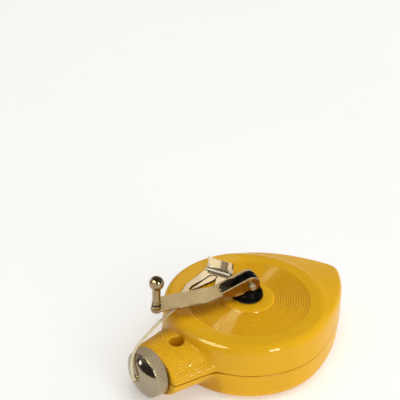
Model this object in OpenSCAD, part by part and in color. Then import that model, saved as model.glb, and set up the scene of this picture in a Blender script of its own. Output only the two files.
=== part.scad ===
// Chalk line reel: a die-cast two-part case with a line spool inside,
// a folding crank on top, and a screw cap on the neck that the line comes out of.
// Millimetres. Origin on the spool axis at the base face, +Z up,
// +X towards the pointed tail, -X towards the neck and cap.

/* [Case] */
// Radius of the round drum at the parting line
drum_r = 34; // [33:0.5:36]
// Height of the grooved top face above the base
case_h = 25.2; // [25.2:0.1:26]
// Height of the parting line and of the neck axis above the base
part_z = 12.6; // [12.4:0.1:12.8]
// Distance from the spool axis to the point of the tail
tail_len = 52; // [50:0.5:53]
// Wall thickness of both case halves
wall = 2.2; // [1.8:0.1:2.4]
// Number of fine rings turned into the top face
ring_count = 13; // [8:1:14]

/* [Neck] */
// Distance from the spool axis to the end face of the neck
neck_len = 48; // [47:0.5:48]
// Half width of the neck at its end
neck_half_end = 13.1; // [12.9:0.1:13.3]
// Half width of the neck where it meets the drum
neck_half_root = 15.8; // [15.4:0.1:16.2]
// Height of the flat on top of the neck
neck_top_z = 21; // [20.8:0.1:21.2]
// Distance from the spool axis to the crank lock hole
lock_x = 36.7; // [36.4:0.1:37]
// Radius of the crank lock hole
lock_r = 3; // [2.9:0.1:3.2]

/* [Crank] */
// Direction of the crank arm seen from above, in degrees from +X
crank_angle = 160; // [150:1:170]
// Distance of the knob from the hub, along the arm
knob_reach = 39.5; // [39:0.1:40]
// Distance of the knob to the near side of the arm's middle line
knob_side = 3.1; // [3:0.1:3.2]
// Thickness of the flat crank arm
arm_t = 0.8; // [0.7:0.05:0.8]
// Radius of the ball on the knob
ball_r = 2.9; // [2.6:0.1:3]

/* [Cap] */
// Radius of the knurled skirt at the neck side
cap_r = 9.9; // [9.6:0.1:10.2]
// Length of the straight skirt
cap_skirt = 4.9; // [4.8:0.1:5]
// Distance the dome stands out in front of the skirt
cap_dome = 3.2; // [3:0.1:3.4]

/* [Line] */
// Radius of the twisted line
line_r = 0.6; // [0.5:0.05:0.65]
// Outer radius of the line wound on the spool
wound_r = 21; // [15:0.5:21]

/* [Hidden] */
$fn = 96;

yellow = [0.88, 0.66, 0.14];
nickel = [0.78, 0.74, 0.66];
steel = [0.70, 0.70, 0.70];
brass = [0.75, 0.60, 0.30];
black = [0.06, 0.06, 0.06];
cotton = [0.90, 0.85, 0.72];
felt = [0.35, 0.34, 0.33];

rim_z = case_h + 0.2;          // smooth band outside the rings
boss_z = case_h + 0.9;         // raised boss round the hub
ring_in = 11.2;
ring_out = 24.4;
top_fillet = 3.5;
base_fillet = 4.5;
neck_bot_z = part_z - 9.3;
neck_slope = atan2(neck_half_root - neck_half_end, neck_len - 31);

// Tail flanks: two large arcs that leave the drum 70 degrees either side of
// the axis and cross at the tail point, kept a little inside the drum circle.
flank_a = 70;
flank_d = (pow(tail_len, 2) - pow(drum_r, 2))
        / (2*drum_r - 2*tail_len*cos(flank_a));
flank_r = drum_r + flank_d - 0.4;
flank_x = -flank_d*cos(flank_a);
flank_y = flank_d*sin(flank_a);
nose_r = tail_len - 1;
tail_fall = 0.32;

// Crank pivot
pin_z = case_h + 8.1;
pin_r = 1.3;
arm_z = case_h + 5.4;          // underside of the flat arm
ear_in = 2.6;
ear_out = 3.5;
ear_round = 3.7;

// Case screws: [x, y, height of the head seat, height of the tip]
screw_at = [[39.5, 0, 5.7, 18.2], [-43, 8.2, 8.2, 15.4], [-43, -8.2, 8.2, 15.4]];
screw_r = 1.2;
head_r = 2.2;
head_h = 1.4;

// Cap stations along X
cap_back = -neck_len - 0.3;
cap_front = cap_back - cap_skirt;
cap_tip = cap_front - cap_dome;
spigot_r = 7.7;
spigot_end = -neck_len - 3.8;
dome_base_r = cap_r - 0.6;
dome_r = (pow(dome_base_r, 2) + pow(cap_dome, 2))/(2*cap_dome);

// Route of the free line, from the cap eyelet up over the dome, across to
// the edge of the case and over its top to the hook.
route = [
    [-56.7, 0, 12.6], [-57.4, 0, 12.8], [-57.8, 0, 13.5], [-57.8, 0.2, 14.5],
    [-57.5, 0.9, 15.6], [-57, 2, 16.8], [-56.2, 3, 18.1], [-55.2, 3.9, 19.5],
    [-53.9, 4.5, 20.9], [-52.4, 5, 22.1], [-50.5, 5.6, 22.9], [-48, 6.3, 23.4],
    [-45, 7.2, 23.9], [-42, 8.1, 24.4], [-39, 8.9, 24.9], [-36, 9.6, 25.4],
    [-33, 10.1, 25.8], [-30.5, 10.5, 26.1], [-28, 11.1, 26.2],
    [-25.5, 12.1, 26.6], [-23.05, 13.15, 27.2]];
hook_at = [1.6, 19.6];
hook_turn = 194;
hook_z = case_h + 0.25;
hook_t = 0.7;
knot_x = 24.2;

function arc(cx, cy, r, a0, a1, n) =
    [for (i = [0:n]) [cx + r*cos(a0 + (a1 - a0)*i/n), cy + r*sin(a0 + (a1 - a0)*i/n)]];

// ---- case shapes -----------------------------------------------------------

// Solid of revolution of the upper drum, with its rings and boss
module drum_upper() {
    r1 = drum_r - 0.3;
    pitch = (ring_out - ring_in)/ring_count;
    rotate_extrude($fn = 180) polygon(concat(
        [[0, part_z], [drum_r, part_z]],
        arc(r1 - top_fillet, rim_z - top_fillet, top_fillet, 0, 90, 6),
        [[ring_out + 0.3, rim_z]],
        [for (i = [0:ring_count - 1], k = [0, 1])
            k == 0 ? [ring_out - i*pitch, case_h - 0.3]
                   : [ring_out - i*pitch - 0.7*pitch, case_h]],
        [[ring_in, case_h - 0.3], [10.9, case_h], [10.7, boss_z - 0.4],
         [10.2, boss_z], [0, boss_z]]));
}

module drum_lower() {
    r1 = drum_r - 0.4;
    rotate_extrude($fn = 180) polygon(concat(
        [[0, 0]], arc(r1 - base_fillet, base_fillet, base_fillet, -90, 0, 6),
        [[drum_r, part_z], [0, part_z]]));
}

// Both tail flanks, drawn in by t
module flanks(t, z0, z1, draft0, draft1) {
    intersection() {
        translate([flank_x, flank_y, 0]) rotate_extrude($fn = 360)
            polygon([[0, z0], [flank_r - t - draft0, z0],
                     [flank_r - t - draft1, z1], [0, z1]]);
        translate([flank_x, -flank_y, 0]) rotate_extrude($fn = 360)
            polygon([[0, z0], [flank_r - t - draft0, z0],
                     [flank_r - t - draft1, z1], [0, z1]]);
        translate([14, -40, z0 - 1]) cube([50, 80, z1 - z0 + 2]);
    }
}

module tail_upper(t = 0) {
    intersection() {
        flanks(t, part_z - (t > 0 ? 0.5 : 0), 26, 0, 0.4);
        rotate_extrude($fn = 180) polygon([[0, part_z - 1],
            [nose_r - t, part_z - 1],
            [nose_r - t, case_h - 0.2 - t - tail_fall*(nose_r - t - 30)],
            [30, case_h - 0.2 - t], [27.5, case_h - 1.5 - t],
            [0, case_h - 1.5 - t]]);
    }
}

module tail_lower(t = 0) {
    intersection() {
        flanks(t, -1, part_z + (t > 0 ? 0.5 : 0), 0.4, 0);
        rotate_extrude($fn = 180) polygon([[0, 1.6 + t], [27.5, 1.6 + t], [30, 0.4 + t],
            [nose_r - t, 0.4 + t + tail_fall*(nose_r - t - 30)],
            [nose_r - t, part_z + 1], [0, part_z + 1]]);
    }
}

// Outline of one side of the neck: [distance in from the side wall, height
// above or below the parting line], a sloping roof above and a rounded belly below
neck_roof = [[0, 0], [-0.3, 1.6], [-1.6, 2.9], [-3.1, 4.2], [-5.4, 6.2],
    [-7.5, 7.6], [-9.8, neck_top_z - part_z], [-60, neck_top_z - part_z]];
neck_belly = [[0, 0], [-0.4, 2.1], [-1.7, 4.2], [-3.7, 6.1], [-6.3, 7.7],
    [-9.6, 8.9], [-12.4, part_z - neck_bot_z], [-60, part_z - neck_bot_z]];

// One side of the neck: a bar along the side wall
module neck_side(outline) {
    translate([-neck_len, neck_half_end, part_z]) rotate([0, 0, neck_slope])
        translate([-20, 0, 0]) rotate([90, 0, 90])
            linear_extrude(70) polygon(concat([[-60, 0]], outline));
}

module neck(outline) {
    intersection() {
        neck_side(outline);
        mirror([0, 1, 0]) neck_side(outline);
        translate([-neck_len, -40, 0]) cube([neck_len - 20, 80, 40]);
    }
}

// Hollow of the neck: a straight-sided tapered block, drawn in by t
module neck_hollow(t, z0, z1) {
    k = tan(neck_slope);
    translate([0, 0, z0]) linear_extrude(z1 - z0) polygon([
        [-neck_len + 2.1, neck_half_end - t + 2.1*k],
        [-neck_len + 2.1, -neck_half_end + t - 2.1*k],
        [-22, -neck_half_end + t - (neck_len - 22)*k],
        [-22, neck_half_end - t + (neck_len - 22)*k]]);
}

// Half of the threaded spigot ring
module spigot(up) {
    translate([spigot_end, 0, part_z]) rotate([90, 0, 90])
        linear_extrude(-neck_len + 0.8 - spigot_end) difference() {
            circle(r = spigot_r);
            circle(r = 5.8);
            translate([-20, up ? -20 : 0]) square([40, 20]);
        }
}

module along_x(x0, x1, r) {
    translate([x0, 0, part_z]) rotate([0, 90, 0]) cylinder(h = x1 - x0, r = r);
}

module post(x, y, z0, z1, r) {
    translate([x, y, z0]) cylinder(h = z1 - z0, r = r, $fn = 48);
}

module upper_case() color(yellow) difference() {
    union() {
        difference() {
            union() {
                drum_upper();
                tail_upper();
                neck(neck_roof);
            }
            // inside of the drum, leaving the bush housing
            rotate_extrude($fn = 180) polygon([[0, part_z - 1],
                [drum_r - wall - 0.2, part_z - 1],
                [drum_r - wall - 0.4, case_h - 3.6],
                [drum_r - wall - 1.6, case_h - 2.4], [7.2, case_h - 2.4],
                [7.2, case_h - 4.2], [0, case_h - 4.2]]);
            tail_upper(wall);
            neck_hollow(2.6, part_z - 1.4, part_z + 1.6);
            neck_hollow(5, part_z - 1.3, part_z + 4.3);
            neck_hollow(8, part_z - 1.2, part_z + 6.2);
            along_x(-neck_len - 1, -neck_len + 4, 5.8);
        }
        // screw posts and the lock hole pocket
        post(39.5, 0, part_z, case_h - 5, 3.2);
        for (s = [1, -1]) post(-43, s*8.2, part_z, part_z + 3.5, 2.2);
        post(-lock_x, 0, neck_top_z - 6.6, neck_top_z - 1, lock_r + 1.4);
        spigot(true);
    }
    // bush seat, spindle way and felt seat
    translate([0, 0, case_h - 5]) cylinder(h = 4.4, r = 5.02);
    translate([0, 0, case_h - 1]) cylinder(h = 3, r = 3.4);
    translate([0, 0, boss_z - 0.6]) cylinder(h = 1, r = 5.3);
    translate([-lock_x, 0, neck_top_z - 5.5]) cylinder(h = 8, r = lock_r);
    for (p = screw_at) post(p[0], p[1], part_z - 1, p[3] + 0.4, screw_r + 0.02);
}

module lower_case() color(yellow) difference() {
    union() {
        difference() {
            union() {
                drum_lower();
                tail_lower();
                translate([0, 0, 2*part_z]) mirror([0, 0, 1]) neck(neck_belly);
            }
            rotate_extrude($fn = 180) polygon([[0, 2], [5.02, 2], [5.02, 4.2],
                [7, 4.2], [7, 2], [drum_r - wall - 1.8, 2],
                [drum_r - wall - 0.4, 3.4], [drum_r - wall - 0.2, part_z + 1],
                [0, part_z + 1]]);
            tail_lower(wall);
            neck_hollow(2.6, part_z - 3.2, part_z + 1.4);
            neck_hollow(4.6, part_z - 5.6, part_z + 1.3);
            neck_hollow(8, part_z - 7.2, part_z + 1.2);
            along_x(-neck_len - 1, -neck_len + 4, 5.8);
        }
        post(39.5, 0, 5, part_z, 3.2);
        for (s = [1, -1]) {
            post(-43, s*8.2, 7.7, part_z, 2.2);
            post(-43, s*8.2, 7.8, 9.6, 3);
        }
        spigot(false);
    }
    for (p = screw_at) {
        post(p[0], p[1], p[2] - 0.2, part_z + 1, screw_r + 0.15);
        post(p[0], p[1], -1, p[2], head_r + 0.1);
    }
}

module case_screws() color(steel) for (p = screw_at)
    translate([p[0], p[1], 0]) difference() {
        union() {
            translate([0, 0, p[2] - head_h]) cylinder(h = head_h, r = head_r, $fn = 48);
            translate([0, 0, p[2] - 0.1]) cylinder(h = p[3] - p[2] + 0.1, r = screw_r, $fn = 48);
        }
        for (a = [0, 90]) rotate([0, 0, a])
            translate([-1.2, -0.3, p[2] - head_h - 0.1]) cube([2.4, 0.6, 0.8]);
    }

module ring(r0, r1, z0, z1) {
    rotate_extrude() polygon([[r0, z0], [r1, z0], [r1, z1], [r0, z1]]);
}

module upper_bush() color(brass) ring(3.05, 5, case_h - 4.3, case_h - 0.65);
module lower_bush() color(brass) ring(3.05, 5, 2, 4.4);
module hub_seal() color(felt) ring(3.2, 5.2, boss_z - 0.6, boss_z + 0.15);

// ---- reel ------------------------------------------------------------------

module spindle() color(steel) difference() {
    rotate_extrude() polygon([[0, 2.3], [2.5, 2.3], [3, 2.8],
        [3, case_h + 3.8], [2.6, case_h + 4.2], [0, case_h + 4.2]]);
    rotate([0, 0, crank_angle]) translate([0, -4, case_h + 2.5])
        rotate([-90, 0, 0]) cylinder(h = 8, r = 0.7, $fn = 32);
}
module lower_thrust_washer() color(brass) ring(3.02, 6.5, 4.5, 5.2);
module upper_thrust_washer() color(brass) ring(3.02, 6.5, 20, 20.6);
module spool_lower_flange() color(steel) difference() {
    ring(3.02, 28, 5.2, 6);
    translate([11, 0, 5]) cylinder(h = 2, r = 0.8, $fn = 32);
}
module spool_upper_flange() color(steel) ring(3.02, 28, 19.2, 20);
module spool_core() color(steel) ring(3.02, 9, 6, 19.2);
module line_winding() color(cotton) rotate_extrude() polygon(concat(
    [[9.02, 6.02]], [[wound_r - 0.8, 6.02]],
    arc(wound_r - 60, part_z, 60, -6, 6, 8), [[wound_r - 0.8, 19.18], [9.02, 19.18]]));
module anchor_knot() color(cotton) translate([11, 0, 3.8])
    rotate_extrude($fn = 48) polygon([[0, 0], [0.9, 0], [1.5, 0.5], [1.5, 0.9], [1, 1.4], [0, 1.4]]);

module crank_frame() { rotate([0, 0, crank_angle]) children(); }

// Bar across the crank: 2D outline in (along arm, height), width from y0 to y1
module across(y0, y1) {
    translate([0, y1, 0]) rotate([90, 0, 0]) linear_extrude(y1 - y0) children();
}

module crank_hub() color(black) crank_frame() difference() {
    union() {
        // round foot with a cone above it
        rotate_extrude() polygon([[0, case_h + 1.25], [5.5, case_h + 1.25],
            [5.8, case_h + 1.6], [5.8, case_h + 3.4], [4.8, case_h + 5.6],
            [0, case_h + 5.6]]);
        // small stop tab at the foot
        translate([4.5, -0.2, case_h + 1.3]) cube([2, 2.2, 1.4]);
        // tongue that the crank straddles
        across(-2.5, 2.5) polygon(concat([[5.6, case_h + 4], [5.6, pin_z + 0.2],
            [4.4, pin_z + 1.3]], arc(-0.5, pin_z - 0.6, 3.6, 50, 168, 10),
            [[-4.1, pin_z - 0.6], [-4.1, case_h + 4]]));
    }
    // ways for the two crank ears
    for (s = [1, -1]) translate([-8, s > 0 ? 2.5 : -3.7, case_h + 3.6])
        cube([16, 1.2, 12]);
    // spindle socket, cross pin and pivot bore
    translate([0, 0, case_h]) cylinder(h = 4.4, r = 3.02);
    translate([0, -7, case_h + 2.5]) rotate([-90, 0, 0]) cylinder(h = 14, r = 0.7, $fn = 32);
    translate([0, -7, pin_z]) rotate([-90, 0, 0]) cylinder(h = 14, r = pin_r + 0.05, $fn = 48);
}
module hub_cross_pin() color(steel) crank_frame() translate([0, -5.4, case_h + 2.5])
    rotate([-90, 0, 0]) cylinder(h = 10.8, r = 0.7, $fn = 32);

// ---- crank -----------------------------------------------------------------

module crank_arm() color(nickel) crank_frame() difference() {
    union() {
        translate([0, 0, arm_z]) linear_extrude(arm_t) polygon([
            [12, -3.5], [35.4, -3.6], [40.7, 0.9], [41.5, 2], [41.7, 3.3],
            [41.2, 4.6], [40, 5.3], [19, 5.8], [12, 3.5]]);
        // floor of the trough, running down to the hub
        across(-3, 3) polygon([[12.2, arm_z], [12.2, arm_z + arm_t],
            [6.2, case_h + 4.8], [6.2, case_h + 4]]);
        for (s = [1, -1]) across(s > 0 ? ear_in : -ear_out, s > 0 ? ear_out : -ear_in)
            polygon(concat([[12.2, arm_z], [14, arm_z], [14, arm_z + arm_t],
                [11.5, case_h + 7.2]],
                arc(0, pin_z, ear_round, 70, 275, 24), [[6.2, case_h + 4]]));
    }
    translate([0, -7, pin_z]) rotate([-90, 0, 0]) cylinder(h = 14, r = pin_r, $fn = 48);
    translate([knob_reach, knob_side, arm_z - 1]) cylinder(h = 4, r = 1.55, $fn = 48);
}
module crank_pivot_pin() color(nickel) crank_frame() translate([0, -5.4, pin_z])
    rotate([-90, 0, 0]) rotate_extrude($fn = 48) polygon([[0, 0], [pin_r - 0.2, 0],
        [pin_r, 0.2], [pin_r, 10.6], [pin_r - 0.2, 10.8], [0, 10.8]]);

module crank_knob() color(nickel) crank_frame()
    translate([knob_reach, knob_side, arm_z]) rotate_extrude($fn = 64) polygon(concat(
        [[0, -0.95], [1.5, -0.95], [2, -0.5], [2, -0.05], [1.5, -0.05],
         [1.5, arm_t + 0.05], [1.9, arm_t + 0.05], [1.9, arm_t + 1.4],
         [1.4, arm_t + 1.6], [1.4, arm_t + 2], [1.8, arm_t + 2.2],
         [1.8, arm_t + 2.9], [1.65, arm_t + 3.2], [1.65, arm_t + 9]],
        arc(0, arm_t + 11.6, ball_r, -54, 90, 16)));

// ---- cap -------------------------------------------------------------------

module turned_x() { translate([0, 0, part_z]) rotate([0, -90, 0]) rotate_extrude() children(); }

module line_cap() color(nickel) turned_x() polygon(concat(
    [[spigot_r + 0.05, -cap_back], [cap_r - 0.2, -cap_back], [cap_r, 0.2 - cap_back],
     [cap_r - 0.4, -cap_front]],
    arc(0, -cap_tip - dome_r, dome_r, acos(dome_base_r/dome_r), acos(1.75/dome_r), 10),
    [[1.75, -cap_tip - 0.35], [1.3, -cap_tip - 0.35],
     [1.3, 1.3 - cap_front], [5.9, 1.3 - cap_front], [5.9, -cap_front - 0.2],
     [spigot_r + 0.05, -cap_front - 0.2]]));

module cap_eyelet() color(nickel) turned_x() polygon([
    [0.78, 1.35 - cap_front], [1.28, 1.35 - cap_front], [1.28, -cap_tip - 0.33],
    [1.7, -cap_tip - 0.33], [1.7, -cap_tip + 0.05], [1.45, -cap_tip + 0.3],
    [1.05, -cap_tip + 0.3], [0.78, -cap_tip + 0.05]]);

module cap_gasket() color(black) turned_x() polygon([
    [5.95, 0.05 - spigot_end], [7.6, 0.05 - spigot_end],
    [7.6, -cap_front - 0.25], [5.95, -cap_front - 0.25]]);

module felt_wiper() color(felt) turned_x() polygon([
    [0.7, -cap_front - 0.15], [5.8, -cap_front - 0.15], [5.8, 1.25 - cap_front],
    [0.7, 1.25 - cap_front]]);

// ---- line ------------------------------------------------------------------

// Points of the smooth curve through a list, k steps between neighbours
function at(p, i) = p[max(0, min(len(p) - 1, i))];
function cat(a, b, c, d, t) = 0.5*((2*b) + (c - a)*t + (2*a - 5*b + 4*c - d)*t*t
    + (3*b - a - 3*c + d)*t*t*t);
function smooth(p, k) = concat([for (i = [0:len(p) - 2], j = [0:k - 1])
    cat(at(p, i - 1), at(p, i), at(p, i + 1), at(p, i + 2), j/k)], [p[len(p) - 1]]);
function unit(v) = v/norm(v);
function way(p, i) = unit(at(p, i + 1) - at(p, i - 1));

// Round tube of radius r swept along the points p
module tube(p, r, n = 8) {
    m = len(p);
    pts = [for (i = [0:m - 1]) let (t = i == 0 ? [-1, 0, 0] : way(p, i),
            a = unit(cross(t, [0, 1, 0])), b = cross(t, a))
        for (j = [0:n - 1]) p[i] + r*(cos(360*j/n)*a + sin(360*j/n)*b)];
    faces = concat([[for (j = [0:n - 1]) j]],
        [for (i = [0:m - 2], j = [0:n - 1])
            [i*n + j, (i + 1)*n + j, (i + 1)*n + (j + 1)%n, i*n + (j + 1)%n]],
        [[for (j = [n - 1:-1:0]) (m - 1)*n + j]]);
    polyhedron(pts, faces);
}

// The stretch inside the neck, from the wound line to the eyelet
module inner_line() color(cotton) {
    d = -spigot_end - 0.3;
    q = wound_r + line_r + 0.3;
    a = acos(q/d);
    translate([-d, 0, part_z]) {
        rotate([0, 90, 90 - a]) cylinder(h = sqrt(d*d - q*q), r = line_r, $fn = 32);
        sphere(r = line_r + 0.1, $fn = 32);
        rotate([0, -90, 0]) cylinder(h = 0.3 - cap_tip - d, r = line_r, $fn = 32);
    }
}

module chalk_line() color(cotton) tube(smooth(route, 2), line_r);

module hook_frame() {
    translate([hook_at[0], hook_at[1], hook_z]) rotate([0, 0, hook_turn]) children();
}

module line_knot() color(cotton) hook_frame()
    translate([knot_x, 0, hook_t + 0.02]) rotate_extrude($fn = 32)
        polygon([[0, 0], [0.8, 0], [1.2, 0.5], [1.25, 1], [1, 1.6], [0.5, 2], [0, 2.1]]);

module line_hook() color(nickel) hook_frame() difference() {
    union() {
        linear_extrude(hook_t) polygon([[0.4, -5.5], [15, -5.5], [19.5, -4.2],
            [24, -2.5], [25.6, -1.6], [26.1, -0.6], [26.1, 0.6], [25.6, 1.6],
            [24, 2.5], [19.5, 4.2], [15, 5.5], [0.4, 5.5]]);
        across(-5.5, 5.5) polygon([[0.9, 0], [0, 0], [-3, 4.45], [-2.4, 4.85],
            [0.4, hook_t], [0.9, hook_t]]);
    }
    // nail opening beside the tapered tongue
    translate([0, 0, -1]) linear_extrude(3) difference() {
        polygon([[4, -1.4], [8.2, -1.75], [14.5, -2.85], [17, -2.5], [17.6, -1.5],
            [17.2, 2], [15.2, 3.9], [8.9, 4.2], [5.3, 2.3], [4, 1.2]]);
        polygon([[3.6, -1.15], [8.2, -1.45], [14, -1.7], [16.4, -1.9], [16.5, -1.4],
            [14.8, -0.4], [10.5, 0.6], [6.5, 1.8], [3.6, 1.9]]);
    }
    translate([knot_x - 2.4, 0, -1]) cylinder(h = 3, r = 0.8, $fn = 32);
}

upper_case();
lower_case();
case_screws();
upper_bush();
lower_bush();
hub_seal();
spindle();
spool_core();
spool_upper_flange();
spool_lower_flange();
upper_thrust_washer();
lower_thrust_washer();
line_winding();
anchor_knot();
crank_hub();
hub_cross_pin();
crank_arm();
crank_pivot_pin();
crank_knob();
line_cap();
cap_eyelet();
cap_gasket();
felt_wiper();
inner_line();
chalk_line();
line_knot();
line_hook();
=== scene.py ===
import math

import bpy
import numpy as np
from mathutils import Matrix, Vector


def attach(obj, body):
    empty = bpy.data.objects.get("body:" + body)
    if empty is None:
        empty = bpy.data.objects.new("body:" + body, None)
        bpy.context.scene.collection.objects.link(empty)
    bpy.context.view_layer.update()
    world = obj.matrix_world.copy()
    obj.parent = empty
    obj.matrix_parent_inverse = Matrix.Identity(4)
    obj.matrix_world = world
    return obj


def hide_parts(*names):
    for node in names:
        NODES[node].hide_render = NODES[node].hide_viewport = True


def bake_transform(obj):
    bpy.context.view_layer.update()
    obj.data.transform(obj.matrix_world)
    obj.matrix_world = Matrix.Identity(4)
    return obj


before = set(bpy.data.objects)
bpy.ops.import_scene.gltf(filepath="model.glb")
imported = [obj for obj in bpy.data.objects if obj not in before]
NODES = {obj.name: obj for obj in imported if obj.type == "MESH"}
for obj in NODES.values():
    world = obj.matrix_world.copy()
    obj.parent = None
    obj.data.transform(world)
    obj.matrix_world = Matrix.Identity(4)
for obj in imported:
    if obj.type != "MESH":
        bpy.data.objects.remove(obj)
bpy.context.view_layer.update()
SCENE = bpy.context.scene
SCENE.view_settings.view_transform = "Standard"
SCENE.view_settings.look = "None"

# ---------------------------------------------------------------- camera ----
cam_data = bpy.data.cameras.new("camera")
cam = bpy.data.objects.new("camera", cam_data)
SCENE.collection.objects.link(cam)
cam_data.lens, cam_data.sensor_width = 108.0, 36.0
cam_data.clip_start, cam_data.clip_end = 0.01, 20.0
RIGHT, UP, BACK = (0.7639, -0.6449, 0.0235), (0.3219, 0.4123, 0.8523), (-0.5594, -0.6435, 0.5225)
cam.matrix_world = Matrix((
    (RIGHT[0], UP[0], BACK[0], -0.27051),
    (RIGHT[1], UP[1], BACK[1], -0.28055),
    (RIGHT[2], UP[2], BACK[2], 0.30870),
    (0, 0, 0, 1)))
SCENE.camera = cam

# ------------------------------------------------------------- materials ----


def material(name, base, metallic=0.0, roughness=0.5, **sockets):
    """A node material whose uniform values sit on the shader's own sockets."""
    m = bpy.data.materials.new(name)
    m.use_nodes = True
    b = m.node_tree.nodes["Principled BSDF"]
    b.inputs["Base Color"].default_value = (*base, 1)
    b.inputs["Metallic"].default_value = metallic
    b.inputs["Roughness"].default_value = roughness
    for k, v in sockets.items():
        b.inputs[k.replace("_", " ")].default_value = v
    m.diffuse_color = (*base, 1)
    return m, m.node_tree.nodes, m.node_tree.links, b


def coords(nt, links, scale=(1, 1, 1), turn=(0, 0, 0)):
    tc = nt.new("ShaderNodeTexCoord")
    mp = nt.new("ShaderNodeMapping")
    mp.inputs["Scale"].default_value = scale
    mp.inputs["Rotation"].default_value = turn
    links.new(tc.outputs["Object"], mp.inputs["Vector"])
    return mp.outputs["Vector"]


def noise(nt, links, vec, scale, detail=3.0, rough=0.5, distortion=0.0):
    n = nt.new("ShaderNodeTexNoise")
    n.inputs["Scale"].default_value = scale
    n.inputs["Detail"].default_value = detail
    n.inputs["Roughness"].default_value = rough
    n.inputs["Distortion"].default_value = distortion
    links.new(vec, n.inputs["Vector"])
    return n.outputs["Fac"]


def ramp(nt, links, fac, stops):
    r = nt.new("ShaderNodeValToRGB")
    e = r.color_ramp.elements
    while len(e) < len(stops):
        e.new(0.5)
    for el, (p, c) in zip(e, stops):
        el.position, el.color = p, (*c, 1) if len(c) == 3 else c
    links.new(fac, r.inputs["Fac"])
    return r.outputs["Color"]


def spread(nt, links, fac, lo, hi, a=0.3, b=0.7):
    r = nt.new("ShaderNodeMapRange")
    r.inputs["From Min"].default_value, r.inputs["From Max"].default_value = a, b
    r.inputs["To Min"].default_value, r.inputs["To Max"].default_value = lo, hi
    links.new(fac, r.inputs["Value"])
    return r.outputs["Result"]


def bump(nt, links, bsdf, heights):
    """Chains (height, strength, distance) into the shader's normal."""
    last = None
    for h, strength, distance in heights:
        n = nt.new("ShaderNodeBump")
        n.inputs["Strength"].default_value = strength
        n.inputs["Distance"].default_value = distance
        links.new(h, n.inputs["Height"])
        if last is not None:
            links.new(last, n.inputs["Normal"])
        last = n.outputs["Normal"]
    links.new(last, bsdf.inputs["Normal"])


def mix_colour(nt, links, fac, a, b, mode="MIX"):
    m = nt.new("ShaderNodeMix")
    m.data_type, m.blend_type = "RGBA", mode
    for sock, v in ((m.inputs[0], fac), (m.inputs[6], a), (m.inputs[7], b)):
        if hasattr(v, "links") or isinstance(v, bpy.types.NodeSocket):
            links.new(v, sock)
        else:
            sock.default_value = v if isinstance(v, float) else (*v, 1)
    return m.outputs[2]


def attribute(nt, name):
    a = nt.new("ShaderNodeAttribute")
    a.attribute_name = name
    return a.outputs["Fac"]


def yellow_paint():
    m, nt, links, b = material("yellow_paint", (0.77, 0.41, 0.012), 0.0, 0.36,
                               Coat_Weight=0.45, Coat_Roughness=0.07, Coat_IOR=1.5,
                               Specular_IOR_Level=0.0)
    v = coords(nt, links)
    broad = noise(nt, links, v, 55, 4)
    col = ramp(nt, links, broad, [(0.25, (0.745, 0.388, 0.010)), (0.75, (0.795, 0.424, 0.013))])
    specks = noise(nt, links, v, 2600, 2)
    fleck = spread(nt, links, specks, 0.0, 0.16, 0.66, 0.78)
    col = mix_colour(nt, links, fleck, col, (0.84, 0.47, 0.012))
    # Darkens the paint by a per-point value: a darker joint line, darker ring and weave grooves, and painted shade in
    # the lock hole and in the gap by the cap.
    dirt_and_shade = attribute(nt, "dirt_and_shade")
    grit = noise(nt, links, v, 420, 5, 0.6)
    amount = nt.new("ShaderNodeMath")
    amount.operation = "MULTIPLY"
    links.new(dirt_and_shade, amount.inputs[0])
    links.new(spread(nt, links, grit, 0.45, 1.0), amount.inputs[1])
    col = mix_colour(nt, links, amount.outputs[0], col, (0.30, 0.125, 0.006))
    # Painted shade: a smooth darkening by the shade attribute, set under the neck and where the neck meets the drum.
    col = mix_colour(nt, links, attribute(nt, "shade"), col, (0.42, 0.185, 0.007))
    links.new(col, b.inputs["Base Color"])
    links.new(spread(nt, links, noise(nt, links, v, 160, 4), 0.32, 0.44), b.inputs["Roughness"])
    peel = noise(nt, links, v, 750, 2, 0.4)
    sag = noise(nt, links, v, 120, 1, 0.4)
    bump(nt, links, b, [(sag, 0.006, 0.0008), (peel, 0.012, 0.00022)])
    return m


def metal(name, base, dark, rough, grain, turn=(0, 0, 0), grain_bump=0.06, metallic=1.0, pit=0.12):
    """Plated metal with polishing grain along one direction and faint cloudy tarnish."""
    m, nt, links, b = material(name, base, metallic, rough)
    v = coords(nt, links)
    cloud = noise(nt, links, v, 140, 5, 0.6)
    col = ramp(nt, links, cloud, [(0.3, dark), (0.62, base)])
    pits = noise(nt, links, v, 1700, 3, 0.6)
    col = mix_colour(nt, links, spread(nt, links, pits, 0.0, pit, 0.62, 0.74), col, tuple(0.35 * q for q in dark))
    links.new(col, b.inputs["Base Color"])
    g = noise(nt, links, coords(nt, links, grain, turn), 1.0, 4, 0.6)
    scuff = noise(nt, links, v, 900, 4, 0.7)
    r = nt.new("ShaderNodeMath")
    r.operation = "ADD"
    links.new(spread(nt, links, g, rough * 0.75, rough * 1.25), r.inputs[0])
    links.new(spread(nt, links, scuff, 0.0, rough * 0.35, 0.5, 0.8), r.inputs[1])
    links.new(r.outputs[0], b.inputs["Roughness"])
    bump(nt, links, b, [(g, grain_bump, 0.00004), (scuff, grain_bump * 0.4, 0.00003)])
    return m


def knurled_plate():
    """Matt plating, darker in the knurl furrows."""
    m, nt, links, b = material("knurled_nickel", (0.46, 0.365, 0.24), 0.35, 0.42)
    v = coords(nt, links)
    cloud = noise(nt, links, v, 90, 3, 0.5)
    col = ramp(nt, links, cloud, [(0.3, (0.44, 0.345, 0.222)), (0.7, (0.485, 0.385, 0.255))])
    col = mix_colour(nt, links, spread(nt, links, attribute(nt, "dirt_and_shade"), 0.0, 0.85, 0.15, 0.9), col, (0.15, 0.105, 0.06))
    links.new(col, b.inputs["Base Color"])
    grain = noise(nt, links, coords(nt, links, (300, 2400, 2400)), 1.0, 3, 0.5)
    links.new(spread(nt, links, grain, 0.36, 0.48), b.inputs["Roughness"])
    bump(nt, links, b, [(grain, 0.05, 0.00003)])
    return m


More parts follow.
